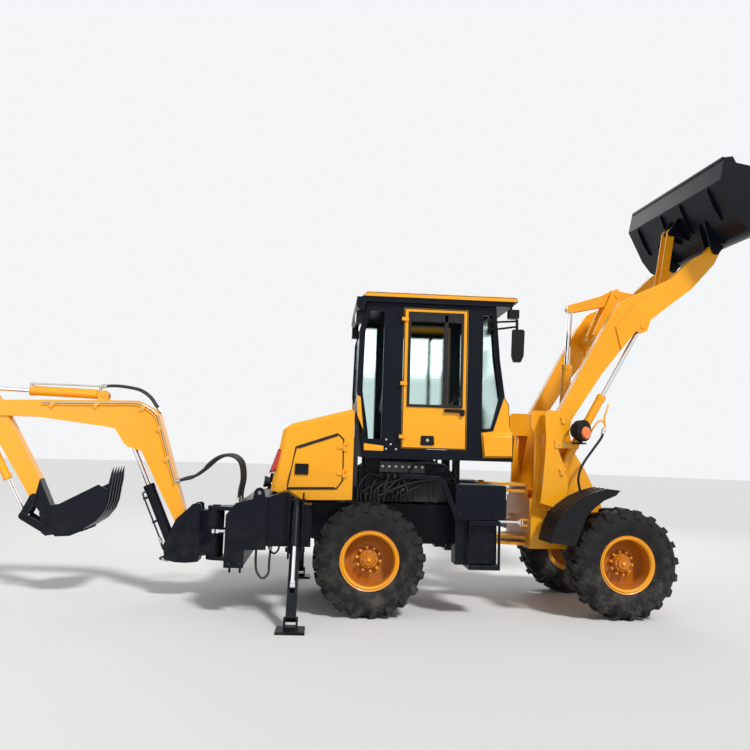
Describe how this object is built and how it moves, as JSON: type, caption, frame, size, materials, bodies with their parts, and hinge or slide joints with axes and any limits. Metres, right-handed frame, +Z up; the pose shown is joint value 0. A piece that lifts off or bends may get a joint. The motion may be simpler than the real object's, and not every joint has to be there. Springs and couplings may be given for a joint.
{
  "type": "backhoe loader",
  "caption": "Articulated backhoe loader: four equal wheels, front loader arms with bucket, closed cab, centre-mounted digging boom with bucket, and stabilizer legs.",
  "frame": {"origin": "on the ground, under the middle of the whole machine's bounding box", "axes": "+X towards the loader bucket, +Y to the machine's left, +Z up"},
  "size_m": [8.7464, 3.039, 4.7073],
  "materials": {
    "paint": "gloss orange-yellow paint, worn",
    "frame": "satin black paint, worn",
    "tyre": "matt",
    "plastic": "matt black",
    "chrome": "polished",
    "engine": "matt",
    "glass": "clear, slightly green"
  },
  "bodies": {
    "rear_frame": {"rear_frame": "frame", "rear_axle": "frame", "engine": "engine", "hood": "paint", "cab_shell": "frame", "cab_roof": "paint", "cab_glass": "glass", "cab_interior": "plastic", "backhoe_frame": "frame", "king_bracket": "frame", "rear_fenders": "frame", "steps_and_tank": "frame", "mirrors_and_lamps": "plastic"},
    "front_frame": {"front_frame": "paint", "front_axle": "frame", "front_fenders": "plastic"},
    "cab_door_right": {"cab_door_right": "paint"},
    "cab_door_left": {"cab_door_left": "paint"},
    "hood_door_right": {"hood_door_right": "paint"},
    "hood_door_left": {"hood_door_left": "paint"},
    "wheel_rear_right": {"wheel_rear_right": "tyre"},
    "wheel_rear_left": {"wheel_rear_left": "tyre"},
    "wheel_front_right": {"wheel_front_right": "tyre"},
    "wheel_front_left": {"wheel_front_left": "tyre"},
    "loader_arms": {"loader_arms": "paint"},
    "loader_bucket": {"loader_bucket": "frame"},
    "rocker": {"rocker": "paint"},
    "bucket_link": {"bucket_link": "paint"},
    "tilt_barrel": {"tilt_barrel": "paint"},
    "tilt_rod": {"tilt_rod": "chrome"},
    "swing_post": {"swing_post": "frame"},
    "boom": {"boom": "paint"},
    "dipper": {"dipper": "paint"},
    "hoe_bucket": {"hoe_bucket": "frame"},
    "hoe_guide": {"hoe_guide": "frame"},
    "hoe_link": {"hoe_link": "frame"},
    "boom_barrel": {"boom_barrel": "frame"},
    "boom_rod": {"boom_rod": "chrome"},
    "dipper_barrel": {"dipper_barrel": "paint"},
    "dipper_rod": {"dipper_rod": "chrome"},
    "hoe_barrel": {"hoe_barrel": "paint"},
    "hoe_rod": {"hoe_rod": "chrome"},
    "leg_right": {"leg_right": "frame"},
    "leg_left": {"leg_left": "frame"},
    "steer_right_barrel": {"steer_barrel_right": "frame"},
    "steer_right_rod": {"steer_rod_right": "chrome"},
    "steer_left_barrel": {"steer_barrel_left": "frame"},
    "steer_left_rod": {"steer_rod_left": "chrome"},
    "swing_right_barrel": {"swing_barrel_right": "frame"},
    "swing_right_rod": {"swing_rod_right": "chrome"},
    "swing_left_barrel": {"swing_barrel_left": "frame"},
    "swing_left_rod": {"swing_rod_left": "chrome"},
    "leg_right_barrel": {"leg_barrel_right": "frame"},
    "leg_right_rod": {"leg_rod_right": "chrome"},
    "leg_left_barrel": {"leg_barrel_left": "frame"},
    "leg_left_rod": {"leg_rod_left": "chrome"},
    "lift_barrel": {"lift_barrels": "paint"},
    "lift_rod": {"lift_rods": "chrome"}
  },
  "joints": [
    {"name": "wheel_rear_right_spin", "type": "hinge", "parent": "rear_frame", "child": "wheel_rear_right", "pos_m": [-0.24, -0.709, 0.5375], "axis": [0, 1, 0], "continuous": true},
    {"name": "wheel_rear_left_spin", "type": "hinge", "parent": "rear_frame", "child": "wheel_rear_left", "pos_m": [-0.24, 0.709, 0.5375], "axis": [0, 1, 0], "continuous": true},
    {"name": "wheel_front_right_spin", "type": "hinge", "parent": "front_frame", "child": "wheel_front_right", "pos_m": [2.27861, -0.61665, 0.5375], "axis": [-0.0732, 0.9973, 0], "continuous": true},
    {"name": "wheel_front_left_spin", "type": "hinge", "parent": "front_frame", "child": "wheel_front_left", "pos_m": [2.17476, 0.79754, 0.5375], "axis": [-0.0732, 0.9973, 0], "continuous": true},
    {"name": "articulation", "type": "hinge", "parent": "rear_frame", "child": "front_frame", "pos_m": [0.995, 0, 0.668], "axis": [0, 0, 1], "range_deg": [-34.2, 25.8]},
    {"name": "cab_door_right_swing", "type": "hinge", "parent": "rear_frame", "child": "cab_door_right", "pos_m": [0.038, -0.634, 2.2], "axis": [0, 0, -1], "range_deg": [0, 80]},
    {"name": "cab_door_left_swing", "type": "hinge", "parent": "rear_frame", "child": "cab_door_left", "pos_m": [0.038, 0.634, 2.2], "axis": [0, 0, 1], "range_deg": [0, 80]},
    {"name": "hood_door_right_swing", "type": "hinge", "parent": "rear_frame", "child": "hood_door_right", "pos_m": [-0.508, -0.604, 1.4], "axis": [0, 0, 1], "range_deg": [0, 85]},
    {"name": "hood_door_left_swing", "type": "hinge", "parent": "rear_frame", "child": "hood_door_left", "pos_m": [-0.508, 0.604, 1.4], "axis": [0, 0, -1], "range_deg": [0, 85]},
    {"name": "lift", "type": "hinge", "parent": "front_frame", "child": "loader_arms", "pos_m": [1.70309, 0.052, 1.93], "axis": [0.0732, -0.9973, 0], "range_deg": [-94, 4]},
    {"name": "bucket_tilt", "type": "hinge", "parent": "loader_arms", "child": "loader_bucket", "pos_m": [3.42946, 0.17878, 3.85926], "axis": [0.0732, -0.9973, 0], "range_deg": [-55, 80]},
    {"name": "rocker_turn", "type": "hinge", "parent": "loader_arms", "child": "rocker", "pos_m": [2.49187, 0.10992, 3.37], "axis": [0.0732, -0.9973, 0], "range_deg": [-58.51, 40.82]},
    {"name": "bucket_link_turn", "type": "hinge", "parent": "loader_bucket", "child": "bucket_link", "pos_m": [3.15487, 0.15861, 4.15343], "axis": [0.0732, -0.9973, 0], "range_deg": [-72.8, 50.79]},
    {"name": "lift_barrel_turn", "type": "hinge", "parent": "front_frame", "child": "lift_barrel", "pos_m": [1.69312, 0.05127, 1.4], "axis": [0.0732, -0.9973, 0], "range_deg": [-80.03, 4.97]},
    {"name": "lift_rod_slide", "type": "slide", "parent": "lift_barrel", "child": "lift_rod", "axis": [0.4934, 0.0362, 0.869], "range_m": [-0.70809, 0.04407]},
    {"name": "tilt_barrel_turn", "type": "hinge", "parent": "front_frame", "child": "tilt_barrel", "pos_m": [1.89258, 0.06591, 1.6], "axis": [0.0732, -0.9973, 0], "range_deg": [-86.14, 5.35]},
    {"name": "tilt_rod_slide", "type": "slide", "parent": "tilt_barrel", "child": "tilt_rod", "axis": [0.056, 0.0041, 0.9984], "range_m": [-0.53635, 0.03341]},
    {"name": "steer_right_barrel_turn", "type": "hinge", "parent": "rear_frame", "child": "steer_right_barrel", "pos_m": [0.48, -0.24, 0.88], "axis": [0, 0, 1], "range_deg": [-15.55, 11.86]},
    {"name": "steer_right_rod_slide", "type": "slide", "parent": "steer_right_barrel", "child": "steer_right_rod", "axis": [0.9975, -0.0713, 0], "range_m": [-0.18045, 0.13766]},
    {"name": "steer_left_barrel_turn", "type": "hinge", "parent": "rear_frame", "child": "steer_left_barrel", "pos_m": [0.48, 0.24, 0.88], "axis": [0, 0, 1], "range_deg": [-15.59, 11.89]},
    {"name": "steer_left_rod_slide", "type": "slide", "parent": "steer_left_barrel", "child": "steer_left_rod", "axis": [0.9908, 0.1354, 0], "range_m": [-0.13526, 0.17731]},
    {"name": "swing", "type": "hinge", "parent": "rear_frame", "child": "swing_post", "pos_m": [-1.8, 0, 0.43], "axis": [0, 0, 1], "range_deg": [-85, 85]},
    {"name": "swing_right_barrel_turn", "type": "hinge", "parent": "rear_frame", "child": "swing_right_barrel", "pos_m": [-1.167, -0.15, 0.7], "axis": [0, 0, 1], "range_deg": [-0.5, 0.5]},
    {"name": "swing_right_rod_slide", "type": "slide", "parent": "swing_right_barrel", "child": "swing_right_rod", "axis": [-0.9992, 0.0395, 0], "range_m": [-0.1419, 0.1419]},
    {"name": "swing_left_barrel_turn", "type": "hinge", "parent": "rear_frame", "child": "swing_left_barrel", "pos_m": [-1.167, 0.15, 0.7], "axis": [0, 0, 1], "range_deg": [-0.5, 0.5]},
    {"name": "swing_left_rod_slide", "type": "slide", "parent": "swing_left_barrel", "child": "swing_left_rod", "axis": [-0.9992, -0.0395, 0], "range_m": [-0.1419, 0.1419]},
    {"name": "boom_raise", "type": "hinge", "parent": "swing_post", "child": "boom", "pos_m": [-2.13, 0, 0.75], "axis": [0, 1, 0], "range_deg": [-60, 45]},
    {"name": "dipper_turn", "type": "hinge", "parent": "boom", "child": "dipper", "pos_m": [-4.13974, 0, 1.90099], "axis": [0, 1, 0], "range_deg": [-7, 95]},
    {"name": "hoe_bucket_turn", "type": "hinge", "parent": "dipper", "child": "hoe_bucket", "pos_m": [-3.52947, 0, 0.8608], "axis": [0, 1, 0], "range_deg": [-12, 98]},
    {"name": "boom_barrel_turn", "type": "hinge", "parent": "swing_post", "child": "boom_barrel", "pos_m": [-2.22, 0, 0.49], "axis": [0, 1, 0], "range_deg": [-53.15, 40.31]},
    {"name": "boom_rod_slide", "type": "slide", "parent": "boom_barrel", "child": "boom_rod", "axis": [-0.4101, 0, 0.912], "range_m": [-0.21785, 0.16525]},
    {"name": "dipper_barrel_turn", "type": "hinge", "parent": "boom", "child": "dipper_barrel", "pos_m": [-3.02302, 0, 2.06811], "axis": [0, 1, 0], "range_deg": [-0.5, 2.87]},
    {"name": "dipper_rod_slide", "type": "slide", "parent": "dipper_barrel", "child": "dipper_rod", "axis": [-0.9997, 0, 0.0256], "range_m": [-0.41118, 0.03839]},
    {"name": "hoe_guide_turn", "type": "hinge", "parent": "dipper", "child": "hoe_guide", "pos_m": [-3.64979, 0, 0.99079], "axis": [0, 1, 0], "range_deg": [-13.76, 97.1]},
    {"name": "hoe_link_turn", "type": "hinge", "parent": "hoe_guide", "child": "hoe_link", "pos_m": [-3.74015, 0, 0.80096], "axis": [0, 1, 0], "range_deg": [-55.39, 7.85]},
    {"name": "hoe_barrel_turn", "type": "hinge", "parent": "dipper", "child": "hoe_barrel", "pos_m": [-4.22963, 0, 1.69058], "axis": [0, 1, 0], "range_deg": [-0.5, 0.5]},
    {"name": "hoe_rod_slide", "type": "slide", "parent": "hoe_barrel", "child": "hoe_rod", "axis": [0.4821, 0, -0.8761], "range_m": [-0.32208, 0.04573]},
    {"name": "leg_right_raise", "type": "hinge", "parent": "rear_frame", "child": "leg_right", "pos_m": [-0.94, -0.97, 0.64], "axis": [-1, 0, 0], "range_deg": [0, 62]},
    {"name": "leg_right_barrel_turn", "type": "hinge", "parent": "rear_frame", "child": "leg_right_barrel", "pos_m": [-0.94, -0.97, 1.09], "axis": [-1, 0, 0], "range_deg": [-0.57, 28.99]},
    {"name": "leg_right_rod_slide", "type": "slide", "parent": "leg_right_barrel", "child": "leg_right_rod", "axis": [0, -0.3776, -0.926], "range_m": [-0.27139, 0.00542]},
    {"name": "leg_left_raise", "type": "hinge", "parent": "rear_frame", "child": "leg_left", "pos_m": [-0.94, 0.97, 0.64], "axis": [1, 0, 0], "range_deg": [0, 62]},
    {"name": "leg_left_barrel_turn", "type": "hinge", "parent": "rear_frame", "child": "leg_left_barrel", "pos_m": [-0.94, 0.97, 1.09], "axis": [1, 0, 0], "range_deg": [-0.57, 28.99]},
    {"name": "leg_left_rod_slide", "type": "slide", "parent": "leg_left_barrel", "child": "leg_left_rod", "axis": [0, 0.3776, -0.926], "range_m": [-0.27139, 0.00542]}
  ],
  "couplings": [
    {"joint": "rocker_turn", "follows": "bucket_tilt", "ratio": -0.70752},
    {"joint": "bucket_link_turn", "follows": "bucket_tilt", "ratio": -0.88027},
    {"joint": "lift_barrel_turn", "follows": "lift", "ratio": 0.83403},
    {"joint": "lift_rod_slide", "follows": "lift", "m_per_rad": 0.42273},
    {"joint": "tilt_barrel_turn", "follows": "lift", "ratio": 0.89764},
    {"joint": "tilt_rod_slide", "follows": "lift", "m_per_rad": 0.32018},
    {"joint": "steer_right_barrel_turn", "follows": "articulation", "ratio": 0.43938},
    {"joint": "steer_right_rod_slide", "follows": "articulation", "m_per_rad": 0.2919},
    {"joint": "steer_left_barrel_turn", "follows": "articulation", "ratio": 0.44026},
    {"joint": "steer_left_rod_slide", "follows": "articulation", "m_per_rad": -0.28681},
    {"joint": "swing_right_barrel_turn", "follows": "swing", "ratio": 0.00146},
    {"joint": "swing_right_rod_slide", "follows": "swing", "m_per_rad": -0.091905},
    {"joint": "swing_left_barrel_turn", "follows": "swing", "ratio": 0.00146},
    {"joint": "swing_left_rod_slide", "follows": "swing", "m_per_rad": 0.091905},
    {"joint": "boom_barrel_turn", "follows": "boom_raise", "ratio": 0.85594},
    {"joint": "boom_rod_slide", "follows": "boom_raise", "m_per_rad": 0.20091},
    {"joint": "dipper_barrel_turn", "follows": "dipper_turn", "ratio": 0.029555},
    {"joint": "dipper_rod_slide", "follows": "dipper_turn", "m_per_rad": -0.24271},
    {"joint": "hoe_guide_turn", "follows": "hoe_bucket_turn", "ratio": 0.96909},
    {"joint": "hoe_link_turn", "follows": "hoe_bucket_turn", "ratio": -0.5528},
    {"joint": "hoe_barrel_turn", "follows": "hoe_bucket_turn", "ratio": -0.003477},
    {"joint": "hoe_rod_slide", "follows": "hoe_bucket_turn", "m_per_rad": -0.18411},
    {"joint": "leg_right_barrel_turn", "follows": "leg_right_raise", "ratio": 0.45834},
    {"joint": "leg_right_rod_slide", "follows": "leg_right_raise", "m_per_rad": -0.24579},
    {"joint": "leg_left_barrel_turn", "follows": "leg_left_raise", "ratio": 0.45834},
    {"joint": "leg_left_rod_slide", "follows": "leg_left_raise", "m_per_rad": -0.24579}
  ]
}
